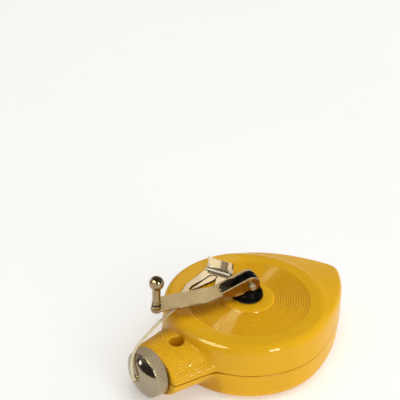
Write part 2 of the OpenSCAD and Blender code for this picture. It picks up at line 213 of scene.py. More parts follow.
def black_moulding():
    m, nt, links, b = material("black_hub", (0.006, 0.006, 0.007), 0.0, 0.3, Specular_IOR_Level=0.03)
    v = coords(nt, links)
    cloud = noise(nt, links, v, 260, 5, 0.6)
    dust = noise(nt, links, v, 1500, 4, 0.7)
    col = ramp(nt, links, cloud, [(0.3, (0.0015, 0.0015, 0.002)), (0.75, (0.006, 0.0055, 0.005))])
    col = mix_colour(nt, links, spread(nt, links, dust, 0.0, 0.2, 0.66, 0.88), col, (0.06, 0.05, 0.035))
    links.new(col, b.inputs["Base Color"])
    links.new(spread(nt, links, cloud, 0.22, 0.38), b.inputs["Roughness"])
    bump(nt, links, b, [(cloud, 0.25, 0.0002), (dust, 0.2, 0.00005)])
    return m


def cotton_cord():
    m, nt, links, b = material("cotton_cord", (0.78, 0.72, 0.58), 0.0, 0.92,
                               Sheen_Weight=0.35, Sheen_Roughness=0.5)
    v = coords(nt, links)
    fibre = noise(nt, links, v, 5200, 4, 0.65, 0.6)
    cloud = noise(nt, links, v, 330, 4)
    col = ramp(nt, links, cloud, [(0.3, (0.66, 0.555, 0.335)), (0.7, (0.83, 0.73, 0.505))])
    col = mix_colour(nt, links, spread(nt, links, fibre, 0.0, 0.45, 0.45, 0.75), col, (0.55, 0.46, 0.31))
    col = mix_colour(nt, links, spread(nt, links, attribute(nt, "dirt_and_shade"), 0.0, 0.75, 0.0, 1.0), col, (0.36, 0.28, 0.17))
    links.new(col, b.inputs["Base Color"])
    bump(nt, links, b, [(fibre, 0.5, 0.00006)])
    return m


def plain_grain(name, base, dark, rough, scale, metallic=0.0, strength=0.3, distance=0.0001):
    m, nt, links, b = material(name, base, metallic, rough)
    v = coords(nt, links)
    n = noise(nt, links, v, scale, 5, 0.65)
    links.new(ramp(nt, links, n, [(0.3, dark), (0.7, base)]), b.inputs["Base Color"])
    links.new(spread(nt, links, n, rough * 0.8, min(1.0, rough * 1.2)), b.inputs["Roughness"])
    bump(nt, links, b, [(n, strength, distance)])
    return m


M_PAINT = yellow_paint()
ARM_TURN = math.radians(160)
M_ARM = metal("satin_nickel", (0.73, 0.545, 0.275), (0.62, 0.45, 0.215), 0.36, (90, 2600, 2600), (0, 0, -ARM_TURN), 0.10, 0.55, 0.5)
# The arm's nickel made darker for the ears' sides: painted shade.
M_EAR_SHADED = metal("crank_ear_nickel_painted_shade", (0.33, 0.205, 0.08), (0.27, 0.165, 0.06), 0.20, (90, 2600, 2600), (0, 0, -ARM_TURN), 0.08)
M_KNURL = knurled_plate()
M_CAP = metal("cap_nickel", (0.355, 0.285, 0.212), (0.33, 0.265, 0.195), 0.10, (1500, 500, 500), (0, 0, 0), 0.03)
M_BALL = metal("bright_nickel", (0.35, 0.262, 0.152), (0.31, 0.228, 0.128), 0.08, (400, 400, 2500), (0, 0, 0), 0.03)
M_PIN = metal("pin_nickel", (0.46, 0.37, 0.26), (0.38, 0.30, 0.20), 0.30, (700, 700, 700), (0, 0, 0), 0.06, 0.5)
# A dark copy of the hook's plating for its edges and bends: painted shade.
M_BEND_SHADED = metal("hook_edges_painted_shade", (0.20, 0.16, 0.13), (0.16, 0.125, 0.10), 0.26, (900, 900, 900), (0, 0, 0), 0.05)
# Pale, rough, non-metal colour for the hook's bend and lip ends: a painted reflection.
M_BAND_REFLECTION = plain_grain("hook_band_painted_reflection", (0.88, 0.79, 0.66), (0.82, 0.72, 0.58), 0.85, 900, 0.0, 0.2, 0.00003)
# Near-black for the knob's collar groove and the hook's two grooves: painted shade.
M_GROOVE_SHADE = plain_grain("groove_painted_shade", (0.055, 0.032, 0.022), (0.03, 0.018, 0.014), 0.35, 1300, 0.4, 0.2, 0.00003)
# Dark brown for the arm's side edges: painted shade.
M_EDGE_SHADED = plain_grain("crank_edge_painted_shade", (0.30, 0.20, 0.09), (0.22, 0.14, 0.06), 0.5, 900, 0.3, 0.3, 0.00005)
# Near-black for the trough floor between the ears: painted shade and a painted dark reflection of the hub.
M_TROUGH_SHADE = plain_grain("crank_trough_painted_shade", (0.10, 0.075, 0.045), (0.012, 0.010, 0.008), 0.42, 950, 0.25, 0.5, 0.0001)
M_HOOK = metal("hook_plate", (0.80, 0.655, 0.42), (0.72, 0.565, 0.345), 0.09, (300, 2600, 2600), (0, 0, -math.radians(194)), 0.05, 0.85)
M_HUB = black_moulding()
M_CORD = cotton_cord()
M_STEEL = metal("turned_steel", (0.56, 0.55, 0.53), (0.45, 0.44, 0.43), 0.28, (700, 700, 3000), (0, 0, 0), 0.06)
M_BRASS = metal("brass", (0.72, 0.50, 0.21), (0.60, 0.40, 0.15), 0.3, (700, 700, 3000), (0, 0, 0), 0.06)
M_RUBBER = plain_grain("black_rubber", (0.02, 0.02, 0.02), (0.01, 0.01, 0.01), 0.7, 1200)
M_FELT = plain_grain("felt", (0.16, 0.155, 0.15), (0.09, 0.088, 0.085), 0.95, 3200, 0.0, 0.8, 0.0002)
M_WOUND = plain_grain("wound_cotton", (0.78, 0.71, 0.57), (0.60, 0.52, 0.37), 0.9, 1400, 0.0, 0.8, 0.0003)

# ---------------------------------------------------------- mesh helpers ----
MM = 0.001


def add(name, verts, faces, mat, body=None, stands_for=(), normals=None, flat=False, attrs=None):
    """A piece from points in millimetres."""
    me = bpy.data.meshes.new(name)
    v = np.asarray(verts, float) * MM
    me.from_pydata(v.tolist(), [], [list(map(int, f)) for f in faces])
    for k, val in (attrs or {}).items():
        a = me.attributes.new(k, "FLOAT", "POINT")
        a.data.foreach_set("value", np.asarray(val, np.float32))
    me.materials.append(mat)
    me.polygons.foreach_set("use_smooth", [not flat] * len(me.polygons))
    me.update()
    if normals is not None:
        me.normals_split_custom_set_from_vertices(np.asarray(normals, float).tolist())
    o = bpy.data.objects.new(name, me)
    SCENE.collection.objects.link(o)
    if body:
        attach(o, body)
    if stands_for:
        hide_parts(*stands_for)
    return o


def smax(a, b, k):
    h = np.maximum(k - np.abs(a - b), 0) / k
    return np.maximum(a, b) + h * h * k * 0.25


def smin(a, b, k):
    return -smax(-a, -b, k)


def rmax(a, b, r):
    """Intersection of two faces with an edge of radius r."""
    return np.minimum(np.maximum(a, b) + r, 0) + np.hypot(np.maximum(a + r, 0), np.maximum(b + r, 0)) - r


def step(x, a, b):
    t = np.clip((x - a) / (b - a), 0, 1)
    return t * t * (3 - 2 * t)


def poly_dist(pts, x, y):
    """Signed distance to a closed outline, negative inside."""
    p = np.asarray(pts, float)
    d = np.full(np.broadcast(x, y).shape, 1e9)
    inside = np.zeros(d.shape, bool)
    for i in range(len(p)):
        a, b = p[i - 1], p[i]
        e = b - a
        wx, wy = x - a[0], y - a[1]
        t = np.clip((wx * e[0] + wy * e[1]) / (e @ e), 0, 1)
        d = np.minimum(d, (wx - t * e[0]) ** 2 + (wy - t * e[1]) ** 2)
        if a[1] != b[1]:
            cross = (y < a[1]) != (y < b[1])
            inside ^= cross & (x < a[0] + (y - a[1]) * e[0] / e[1])
    d = np.sqrt(d)
    return np.where(inside, -d, d)


def gradient(f, p, e=0.004):
    g = np.empty_like(p)
    for i in range(3):
        q = p.copy()
        q[:, i] += e
        hi = f(q[:, 0], q[:, 1], q[:, 2])
        q[:, i] -= 2 * e
        g[:, i] = (hi - f(q[:, 0], q[:, 1], q[:, 2])) / (2 * e)
    return g


def skin(f, lo, hi, h, rounds=4):
    """Quads on the surface f = 0, with each point then brought onto it."""
    lo = np.asarray(lo, float)
    n = np.ceil((np.asarray(hi, float) - lo) / h).astype(int) + 1
    ax = [lo[i] + h * np.arange(n[i]) for i in range(3)]
    field = np.empty(n, np.float32)
    for i in range(0, n[0], 24):
        x, y, z = np.meshgrid(ax[0][i:i + 24], ax[1], ax[2], indexing="ij")
        field[i:i + 24] = f(x, y, z)
    neg = field < 0
    count = np.zeros(n - 1, np.int8)
    corner = [(i, j, k) for i in (0, 1) for j in (0, 1) for k in (0, 1)]
    for i, j, k in corner:
        count += neg[i:n[0] - 1 + i, j:n[1] - 1 + j, k:n[2] - 1 + k]
    cells = np.argwhere((count > 0) & (count < 8))
    index = np.full(n - 1, -1, int)
    index[tuple(cells.T)] = np.arange(len(cells))
    total, hits = np.zeros((len(cells), 3)), np.zeros(len(cells))
    for a in corner:
        for d in range(3):
            if a[d] == 0:
                b = list(a)
                b[d] = 1
                fa = field[tuple((cells + a).T)].astype(float)
                fb = field[tuple((cells + b).T)].astype(float)
                on = (fa < 0) != (fb < 0)
                t = np.where(on, fa / np.where(on, fa - fb, 1), 0)
                p = np.tile(np.array(a, float), (len(cells), 1))
                p[:, d] += t
                total += p * on[:, None]
                hits += on
    v = lo + h * (cells + total / hits[:, None])
    faces = []
    for d in range(3):
        u, w = (d + 1) % 3, (d + 2) % 3
        s0, s1 = [slice(None)] * 3, [slice(None)] * 3
        s0[d], s1[d] = slice(0, n[d] - 1), slice(1, n[d])
        change = neg[tuple(s0)] != neg[tuple(s1)]
        e = np.argwhere(change)
        e = e[(e[:, u] > 0) & (e[:, w] > 0) & (e[:, u] < n[u] - 1) & (e[:, w] < n[w] - 1)]
        out = neg[tuple(e.T)]
        quad = []
        for du, dw in ((-1, -1), (0, -1), (0, 0), (-1, 0)):
            c = e.copy()
            c[:, u] += du
            c[:, w] += dw
            quad.append(index[tuple(c.T)])
        q = np.stack(quad, 1)
        q[~out] = q[~out][:, ::-1]
        faces.append(q)
    faces = np.concatenate(faces)
    for _ in range(rounds):
        g = gradient(f, v)
        g2 = np.maximum((g * g).sum(1), 0.05)
        move = (f(v[:, 0], v[:, 1], v[:, 2]) / g2)[:, None] * g
        length = np.linalg.norm(move, axis=1, keepdims=True)
        v = v - move * np.minimum(1, 0.45 * h / np.maximum(length, 1e-9))
    g = gradient(f, v, 0.02)
    return v, faces, g / np.maximum(np.linalg.norm(g, axis=1, keepdims=True), 1e-9)


def lathe(profile, seg, axis="z", at=(0, 0, 0), closed=False):
    """Points and quads of a turned shape; profile is (radius, station) with radius 0 for a pole."""
    prof = [(float(r), float(s)) for r, s in profile]
    ang = np.arange(seg) * 2 * math.pi / seg
    verts, rows = [], []
    for r, s in prof:
        if r <= 1e-9:
            rows.append([len(verts)])
            verts.append((0, 0, s))
        else:
            rows.append(list(range(len(verts), len(verts) + seg)))
            verts += [(r * math.cos(a), r * math.sin(a), s) for a in ang]
    faces = []
    pairs = list(zip(rows, rows[1:])) + ([(rows[-1], rows[0])] if closed else [])
    for a, b in pairs:
        for i in range(seg):
            j = (i + 1) % seg
            if len(a) == 1 and len(b) == 1:
                continue
            if len(a) == 1:
                faces.append((a[0], b[j], b[i]))
            elif len(b) == 1:
                faces.append((a[i], a[j], b[0]))
            else:
                faces.append((a[i], a[j], b[j], b[i]))
    v = np.array(verts, float)
    if axis == "-x":  # stations run towards -X
        v = np.stack([-v[:, 2], -v[:, 1], v[:, 0]], 1)
    return v + np.asarray(at, float), faces


def rounded(profile, r, n=4, closed=False):
    """Rounds the inner corners of an outline; r is one radius or one for each corner."""
    p = [np.array(q, float) for q in profile]
    m = len(p)
    out = []
    for i in range(m):
        ri = r[i] if isinstance(r, (list, tuple)) else r
        if (not closed and i in (0, m - 1)) or ri <= 0:
            out.append(tuple(p[i]))
            continue
        a, b, c = p[i - 1], p[i], p[(i + 1) % m]
        u, w = a - b, c - b
        lu, lw = np.linalg.norm(u), np.linalg.norm(w)
        u, w = u / lu, w / lw
        half = math.acos(max(-1, min(1, float(u @ w)))) / 2
        if abs(half - math.pi / 2) < 1e-3:
            out.append(tuple(b))
            continue
        t = min(ri / math.tan(half), 0.48 * lu, 0.48 * lw)
        for k in range(n + 1):
            s = k / n
            q = (1 - s) ** 2 * (b + u * t) + 2 * s * (1 - s) * b + s * s * (b + w * t)
            out.append(tuple(q))
    return out


def thicken(top, faces, bottom):
    """A closed sheet from an upper and a lower layer of the same faces."""
    n = len(top)
    faces = [tuple(map(int, f)) for f in faces]
    edges = {}
    for f in faces:
        for a, b in zip(f, f[1:] + f[:1]):
            edges[(a, b)] = True
    rim = [(a, b) for a, b in edges if (b, a) not in edges]
    out = list(faces) + [tuple(n + i for i in reversed(f)) for f in faces]
    out += [(b, a, n + a, n + b) for a, b in rim]
    used = sorted({i for f in out for i in f})
    where = {u: k for k, u in enumerate(used)}
    return np.concatenate([top, bottom])[used], [tuple(where[i] for i in f) for f in out], np.array(used)


def spline(points, gap):
    """Evenly spaced points along a smooth curve through the given ones."""
    p = np.asarray(points, float)
    fine = []
    for i in range(len(p) - 1):
        a, b, c, d = p[max(0, i - 1)], p[i], p[i + 1], p[min(len(p) - 1, i + 2)]
        for t in np.linspace(0, 1, 24, endpoint=False):
            fine.append(0.5 * (2 * b + (c - a) * t + (2 * a - 5 * b + 4 * c - d) * t * t + (3 * b - a - 3 * c + d) * t ** 3))
    fine = np.array(fine + [p[-1]])
    s = np.concatenate([[0], np.cumsum(np.linalg.norm(np.diff(fine, axis=0), axis=1))])
    at = np.linspace(0, s[-1], max(3, int(round(s[-1] / gap)) + 1))
    return np.stack([np.interp(at, s, fine[:, i]) for i in range(3)], 1), at


def twisted(points, radius, gap=0.13, around=30, lay=3.1, strands=3, hand=1, ends=True):
    """A laid cord: strands twisted round each other along the points."""
    p, s = spline(points, gap)
    t = np.gradient(p, axis=0)
    t /= np.linalg.norm(t, axis=1, keepdims=True)
    up = np.cross(t[0], (0, 1, 0.3))
    up /= np.linalg.norm(up)
    verts, dirt_and_shade = [], []
    ang = np.arange(around) * 2 * math.pi / around
    for i in range(len(p)):
        up = up - (up @ t[i]) * t[i]
        up /= np.linalg.norm(up)
        side = np.cross(t[i], up)
        turn = hand * 2 * math.pi * s[i] / lay
        lobe = np.abs(np.cos(0.5 * strands * (ang - turn)))
        wob = 1 + 0.03 * np.sin(1.7 * s[i]) + 0.02 * np.sin(4.3 * s[i] + 1)
        r = radius * (0.72 + 0.28 * np.sqrt(lobe)) * wob / 1.05
        for a, rr, l in zip(ang, r, lobe):
            verts.append(p[i] + rr * (math.cos(a) * up + math.sin(a) * side))
            dirt_and_shade.append((1 - l) ** 2)
    faces = []
    for i in range(len(p) - 1):
        for j in range(around):
            k = (j + 1) % around
            faces.append((i * around + j, i * around + k, (i + 1) * around + k, (i + 1) * around + j))
    if ends:
        a, b = len(verts), len(verts) + 1
        verts += [p[0] - 0.15 * radius * t[0], p[-1] + 0.15 * radius * t[-1]]
        dirt_and_shade += [0.6, 0.6]
        last = (len(p) - 1) * around
        faces += [(a, (j + 1) % around, j) for j in range(around)]
        faces += [(b, last + j, last + (j + 1) % around) for j in range(around)]
    return np.array(verts), faces, np.array(dirt_and_shade), p


# -------------------------------------------------------------- the line ----
ROUTE = [
    (-56.7, 0, 12.6), (-57.4, 0, 12.8), (-57.8, 0, 13.5), (-57.8, 0.2, 14.5),
    (-57.5, 0.9, 15.6), (-57, 2, 16.8), (-56.2, 3, 18.1), (-55.2, 3.9, 19.5),
    (-53.9, 4.5, 20.9), (-52.4, 5, 22.1), (-50.5, 5.6, 22.9), (-48, 6.3, 23.4),
    (-45, 7.2, 23.9), (-42, 8.1, 24.4), (-39, 8.9, 24.9), (-36, 9.6, 25.4),
    (-33, 10.1, 25.8), (-30.5, 10.5, 26.1), (-28, 11.1, 26.2),
    (-25.5, 12.1, 26.6), (-23.05, 13.15, 27.2)]
PZ = 12.6

lv, lf, ld, lp = twisted(ROUTE, 0.6)
line = add("line_twist", lv, lf, M_CORD, attrs={"dirt_and_shade": ld})
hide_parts("chalk_line")
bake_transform(line)


def hook_point(x, y, z):
    """From the hook's own frame to the row frame."""
    c, s = math.cos(math.radians(194)), math.sin(math.radians(194))
    return np.array([1.6 + c * x - s * y, 19.6 + s * x + c * y, 25.45 + z])


def knot():
    """Wraps of the line tied at the hook's end, with a short cut tail."""
    wraps = []
    for k in range(46):
        a = 2 * math.pi * k / 16
        r = 0.80 - 0.10 * abs(k / 45 - 0.5)
        wraps.append(hook_point(24.15 + r * math.cos(a), r * math.sin(a), 1.15 + 0.72 * k / 45))
    v1, f1, d1, _ = twisted(wraps, 0.40, 0.12, 24, 2.4)
    loop = [hook_point(*q) for q in ((24.6, 0.2, 1.2), (23.7, 0.25, 1.75), (22.7, 0.15, 1.5), (21.95, 0.03, 0.95), (21.8, 0, 0.25))]
    v2, f2, d2, _ = twisted(loop, 0.42, 0.12, 24, 2.4)
    tail = [hook_point(*q) for q in ((24.0, -0.3, 1.75), (24.5, -1.1, 1.85), (24.6, -2.0, 1.65), (24.3, -2.9, 1.35))]
    v3, f3, d3, _ = twisted(tail, 0.42, 0.12, 24, 2.4)
    v, f, d = v1, list(f1), d1
    for vv, ff, dd in ((v2, f2, d2), (v3, f3, d3)):
        f += [tuple(i + len(v) for i in q) for q in ff]
        v, d = np.concatenate([v, vv]), np.concatenate([d, dd])
    return add("line_knot_wraps", v, f, M_CORD, "case", ["line_knot"], attrs={"dirt_and_shade": d})


KNOT = knot()

# -------------------------------------------------------------- the case ----
FLANK_A = math.radians(70)
TAIL = 52.0
FLANK_D = (TAIL ** 2 - 34 ** 2) / (68 - 2 * TAIL * math.cos(FLANK_A))
FLANK_R = 34 + FLANK_D
C70, S70 = math.cos(FLANK_A), math.sin(FLANK_A)


def body_shape(x, y, z):
    """Drum and tail in one: a rounded drum whose sides run out to the tail's nose."""
    r = np.hypot(x, y)
    ay = np.abs(y)
    dz = np.abs(z - PZ)
    up = z >= PZ
    drum = r - (34 - np.where(up, 0.032, 0.042) * dz)
    flank = np.hypot(x + FLANK_D * C70, ay + FLANK_D * S70) - (FLANK_R - np.where(up, 0.032, 0.042) * dz)
    tail_side = smax(flank, r - 51, 1.6)
    ang = np.degrees(np.arctan2(ay, x))
    side = np.where(ay * C70 - x * S70 > 0, drum, tail_side)
    # height of the top and base over the parting plane
    lift = 1.6 * step(ang, 50, 74)
    top = np.where(up, 12.8 - 1.0 * step(-r, -29.0, -27.2), 12.6)
    cone = 12.6 - 0.32 * (r - 30) + lift + 0.45 * step(-r, -32.5, -29.6)
    lid = smax(dz - top, (dz - cone) * 0.952, 0.9)
    rad = np.where(up, 3.5, 4.5) * step(ang, 40, 74) + 1.5 * (1 - step(ang, 40, 74))
    return rmax(side, lid, rad)


def neck_shape(x, y, z):
    """Tapered neck: a sloping roof above the parting plane, a rounded belly below."""
    ay = np.abs(y)
    half = 13.1 + (x + 48) * (15.8 - 13.1) / 17
    d = z - PZ
    side = (ay - half) * 0.983
    inset = half - ay
    roof = (d - (1.75 + 0.84 * inset)) / math.hypot(1, 0.84)
    crest = d - 8.4
    upper = smax(smax(side + 0.02 * d, roof, 1.6), crest, 3.6)
    q = np.clip(ay / half, 0, None)
    lower = ((q ** 1.95 + np.clip(-d / 9.3, 0, None) ** 1.95) ** (1 / 1.95) - 1) * 9.9
    f = np.where(d >= 0, upper, lower)
    return smax(f, -48 - x, 0.7)


def case_outer(x, y, z):
    k = np.where(z >= PZ, 1.3, 3.2)
    near = (x < -22)
    return np.where(near, smin(body_shape(x, y, z), np.where(near, neck_shape(x, y, z), 99), k), body_shape(x, y, z))


LOCK = (-36.7, 0.0, 3.0)
SCREWS = [(39.5, 0.0, 5.7), (-43.0, 8.2, 8.2), (-43.0, -8.2, 8.2)]


def parting(x):
    """Half width of the joint line, wider along the neck."""
    return 0.05 + 0.07 * step(-x, 27, 33)


def upper_shape(x, y, z):
    o = case_outer(x, y, z)
    shell = np.maximum(o, -(o + 2.0))
    hole = np.hypot(x - LOCK[0], y - LOCK[1])
    shell = np.minimum(shell, np.maximum(np.maximum(o, hole - 4.7), 14.4 - z))
    shell = smax(shell, -np.maximum(hole - LOCK[2], 15.5 - z), 0.35)
    shell = np.maximum(shell, -np.maximum(np.hypot(x, y) - 5.6, 20 - z))
    front = np.hypot(y, z - PZ) - 5.8
    shell = np.maximum(shell, -np.maximum(front, x + 44))
    return smax(shell, PZ + parting(x) - z, 0.3)


def lower_shape(x, y, z):
    o = case_outer(x, y, z)
    shell = np.maximum(o, -(o + 2.0))
    for sx, sy, seat in SCREWS:
        d = np.hypot(x - sx, y - sy)
        shell = np.minimum(shell, np.maximum(np.maximum(o, d - 3.6), z - PZ))
        shell = smax(shell, -np.maximum(d - 2.35, z - seat), 0.4)
    front = np.hypot(y, z - PZ) - 5.8
    shell = np.maximum(shell, -np.maximum(front, x + 44))
    return smax(shell, z - (PZ - parting(x)), 0.3)


H = 0.45
v, f, n = skin(upper_shape, (-49, -35, PZ - 0.6), (53, 35, 26.4), 0.8 * H)
near_cut = np.exp(-((v[:, 2] - PZ) / 0.28) ** 2) * (0.35 + 0.45 * step(-v[:, 0], 24, 33))
# Painted shade inside the lock hole.
lock_hole_shade = (np.hypot(v[:, 0] - LOCK[0], v[:, 1]) < 3.15) * step(-v[:, 2], -20.3, -17.0) * 0.3
# Painted shade on the neck's end, in the gap against the cap.
cap_gap_shade = step(-v[:, 0], 47.2, 47.8) * step(-np.hypot(v[:, 1], v[:, 2] - PZ), -11.2, -10.3) * 1.3
add("case_upper_shell", v, f, M_PAINT, "case", ["upper_case"], n, attrs={"dirt_and_shade": np.clip(near_cut + lock_hole_shade + cap_gap_shade, 0, 1.3)})
v, f, n = skin(lower_shape, (-49, -35, -0.6), (53, 35, PZ + 0.6), H)
near_cut = np.exp(-((v[:, 2] - PZ) / 0.28) ** 2) * (0.35 + 0.45 * step(-v[:, 0], 24, 33))
# Painted shade on the neck's end, in the gap against the cap.
cap_gap_shade = step(-v[:, 0], 47.2, 47.8) * step(-np.hypot(v[:, 1], v[:, 2] - PZ), -11.2, -10.3) * 1.3
# Painted shade: darker where the neck's belly meets the drum, and a lighter wash of it under the neck's belly.
apart = (np.clip(np.abs(v[:, 1]) - 13.1 - 0.159 * (v[:, 0] + 48), 0, None) / 1.9) ** 2 + (body_shape(v[:, 0], v[:, 1], v[:, 2]) / 4.5) ** 2
crook_shade = np.exp(-apart) * (v[:, 0] < -15) * step(-v[:, 2], -12.6, -10.6) * 0.62 + 0.22 * step(-v[:, 0], 29, 34) * step(-v[:, 2], -12.0, -8.0)
add("case_lower_shell", v, f, M_PAINT, "case", ["lower_case"], n, attrs={"dirt_and_shade": np.clip(near_cut + cap_gap_shade, 0, 1.3), "shade": np.clip(crook_shade, 0, 1)})


def top_disc():
    """The boss and the fine saw-tooth rings turned into the top."""
    count, first = 13, 11.2
    pitch = (24.4 - first) / count
    prof = [(5.35, 24.6), (5.35, 25.9), (5.55, 26.08), (6.2, 26.1), (9.6, 26.1), (9.95, 26.06), (10.25, 25.96),
            (10.5, 25.78), (10.68, 25.52), (10.82, 25.3), (11.0, 25.08)]
    dirt_and_shade = [0, 0, 0, 0, 0, 0, 0, 0, 0, 0.05, 0.1]
    for i in range(count):
        r0 = first + i * pitch
        for t in np.arange(10) / 10:
            wave = math.cos(2 * math.pi * t)
            prof.append((r0 + t * pitch, 25.03 - 0.17 * wave))
            dirt_and_shade.append(0.72 * max(0.0, wave) ** 2)
    prof += [(24.4, 24.86), (24.48, 24.89), (24.64, 25.06), (24.84, 25.25), (25.1, 25.37), (25.4, 25.4), (27, 25.4), (28.4, 25.4),
             (28.95, 25.399), (29.3, 25.385), (29.6, 25.3), (29.6, 24.6)]
    dirt_and_shade += [0.35, 0.25, 0.1, 0, 0, 0, 0, 0, 0, 0, 0, 0]
    v, f = lathe(prof, 360, closed=True)
    return add("case_top_disc", v, [q[::-1] for q in f], M_PAINT, "case", (), attrs={"dirt_and_shade": np.repeat(dirt_and_shade, 360)})


top_disc()


def weave_skin():
    """Raised basket pattern on the neck's roof, fading out against the drum."""
    xs = np.arange(-47.7, -28.4, 0.145)
    phi = np.radians(np.linspace(9, 171, 330))
    X, PH = np.meshgrid(xs, phi, indexing="ij")
    oy, oz = np.cos(PH), np.sin(PH)
    base = PZ - 2.2
    lo, hi = np.full(X.shape, 3.0), np.full(X.shape, 26.0)
    for _ in range(34):
        mid = 0.5 * (lo + hi)
        inside = case_outer(X, oy * mid, base + oz * mid) < 0
        lo, hi = np.where(inside, mid, lo), np.where(inside, hi, mid)
    d = 0.5 * (lo + hi)
    P = np.stack([X, oy * d, base + oz * d], -1)
    flat = P.reshape(-1, 3)
    g = gradient(case_outer, flat, 0.02)
    N = (g / np.linalg.norm(g, axis=1, keepdims=True)).reshape(P.shape)
    seg = np.linalg.norm(np.diff(P, axis=1), axis=2)
    arc = np.concatenate([np.zeros((len(xs), 1)), np.cumsum(seg, 1)], 1)
    crest = arc[:, len(phi) // 2][:, None]
    a, b = 1.70, 1.25
    col = (arc - crest) / b + 0.13 * np.sin(0.9 * X + 0.4) + 0.07 * np.sin(2.1 * X)
    row = (X + 47.6) / a + 0.10 * np.sin(0.8 * arc) + 0.06 * np.sin(1.9 * arc + 1.0)
    ci = np.floor(col)
    shift = 0.5 * (np.abs(ci) % 2)
    fx, fy = (row + shift) % 1.0, col - ci
    pad = (1 - np.abs(2 * fx - 1) ** 5) * (1 - np.abs(2 * fy - 1) ** 4)
    key = 12.9898 * np.floor(row + shift) + 78.233 * ci
    pad *= 0.80 + 0.20 * np.sin(key)
    tilt = 0.42 * (fx - 0.5) * np.sin(1.7 * key + 0.9) + 0.42 * (fy - 0.5) * np.sin(2.3 * key + 2.1)
    away = step(body_shape(P[..., 0], P[..., 1], P[..., 2]), 0.25, 0.7)
    edge = step(P[..., 2], PZ + 0.75, PZ + 1.5) * step(P[..., 0], -47.5, -47.0)
    hole = np.hypot(P[..., 0] - LOCK[0], P[..., 1])
    keep = away * edge * step(hole, 3.3, 3.8)
    lift = -0.06 + keep * (0.08 + (0.26 + tilt) * pad)
    top = (P + N * lift[..., None]).reshape(-1, 3)
    bottom = (P - N * 0.55).reshape(-1, 3)
    m, k = X.shape
    idx = np.arange(m * k).reshape(m, k)
    quads = np.stack([idx[:-1, :-1], idx[1:, :-1], idx[1:, 1:], idx[:-1, 1:]], -1).reshape(-1, 4)
    live = (keep.reshape(-1)[quads] > 0.002).any(1)
    quads = quads[live]
    v, fs, used = thicken(top, quads, bottom)
    dirt_and_shade = np.concatenate([(keep * (1 - pad) ** 2 * 0.34).reshape(-1), np.zeros(m * k)])[used]
    return add("neck_weave_skin", v, fs, M_PAINT, "case", (), attrs={"dirt_and_shade": dirt_and_shade})


weave_skin()


def spigot():
    """Threaded spigot at the neck's end, one turn for each 1.6 mm."""
    seg, turns = 120, []
    xs = np.arange(-46.6, -51.81, -0.1)
    ang = np.arange(seg) * 2 * math.pi / seg
    rows = [[(xs[0], 5.85 * math.cos(a), PZ + 5.85 * math.sin(a)) for a in ang]]
    for x in xs:
        ph = ((-x - 47.2) / 1.6 - ang / (2 * math.pi)) % 1.0
        tooth = np.clip(1.6 * (0.5 - np.abs(ph - 0.5)) * 2 - 0.3, 0, 1)
        fade = step(-x, 48.2, 48.7) * step(x, -51.75, -51.2)
        r = 7.2 + 0.45 * tooth * fade - 0.5 * step(-x, 51.55, 51.8)
        rows.append([(x, rr * math.cos(a), PZ + rr * math.sin(a)) for a, rr in zip(ang, r)])
    rows.append([(xs[-1], 5.85 * math.cos(a), PZ + 5.85 * math.sin(a)) for a in ang])
    v = np.array(rows).reshape(-1, 3)
    f, m = [], len(rows)
    for i in range(m):
        for j in range(seg):
            k = (j + 1) % seg
            a, b = i * seg, ((i + 1) % m) * seg
            f.append((a + j, a + k, b + k, b + j))
    return add("neck_spigot", v, [q[::-1] for q in f], M_PAINT, "case", (), attrs={"dirt_and_shade": np.zeros(len(v))})


spigot()

# --------------------------------------------------------------- the cap ----


def cap():
    teeth, per = 72, 8
    seg = teeth * per
    ang = np.arange(seg) * 2 * math.pi / seg
    wave = np.tile(np.array([0.0, 0.30, 0.70, 0.95, 1.0, 0.95, 0.70, 0.30]), teeth)
    R, cx = 15.1, -41.3
    rows = []

    nicks = 0.5 * np.sin(37 * ang + 1.3) + 0.6 * np.sin(61 * ang + 0.4) + 0.45 * np.sin(97 * ang + 2.1)

    furrow = []

    def ring(x, r, depth=0.0, rough=0.0):
        rr = r - depth * (1 - wave) + rough * nicks
        furrow.append((1 - wave) * min(1.0, depth / 0.2))
        rows.append([(x, q * math.cos(a), PZ + q * math.sin(a)) for a, q in zip(ang, rr)])

    ring(-52.4, 7.85)
    ring(-48.45, 7.85)
    ring(-48.32, 8.0)
    ring(-48.3, 9.35)
    ring(-48.34, 9.55)
    ring(-48.45, 9.66)
    ring(-48.55, 9.70)
    ring(-48.62, 9.86, 0.16)
    ring(-48.75, 9.90, 0.26)
    for x in np.linspace(-49.4, -52.2, 6):
        ring(x, 9.9 - 0.35 * (-48.75 - x) / 4, 0.26)
    ring(-52.65, 9.54, 0.22)
    ring(-52.80, 9.50, 0.12)
    ring(-52.88, 9.40, 0.0)
    ring(-52.98, 9.36, 0.0, 0.012)
    ring(-53.08, 9.37, 0.0, 0.018)
    ring(-53.17, 9.35, 0.0, 0.022)
    ring(-53.25, 9.29, 0.0, 0.018)
    a0, a1 = math.asin(9.24 / R), math.asin(1.62 / R)
    for k in range(30):
        a = a0 + (a1 - a0) * k / 29
        ring(cx - R * math.cos(a), R * math.sin(a))
    ring(-56.3, 1.35)
    ring(-52.4, 1.35)
    v = np.array(rows).reshape(-1, 3)
    f, m = [], len(rows)
    for i in range(m):
        for j in range(seg):
            k = (j + 1) % seg
            a, b = i * seg, ((i + 1) % m) * seg
            f.append((a + j, a + k, b + k, b + j))
    o = add("cap_shell", v, [q[::-1] for q in f], M_CAP, "cap", ["line_cap"],
            attrs={"dirt_and_shade": np.concatenate(furrow)})
    o.data.materials.append(M_KNURL)
    o.data.polygons.foreach_set("material_index", [1 if 2 <= i < 18 else 0 for i in range(m) for j in range(seg)])
    mark_sharp(o, 50)
    return o


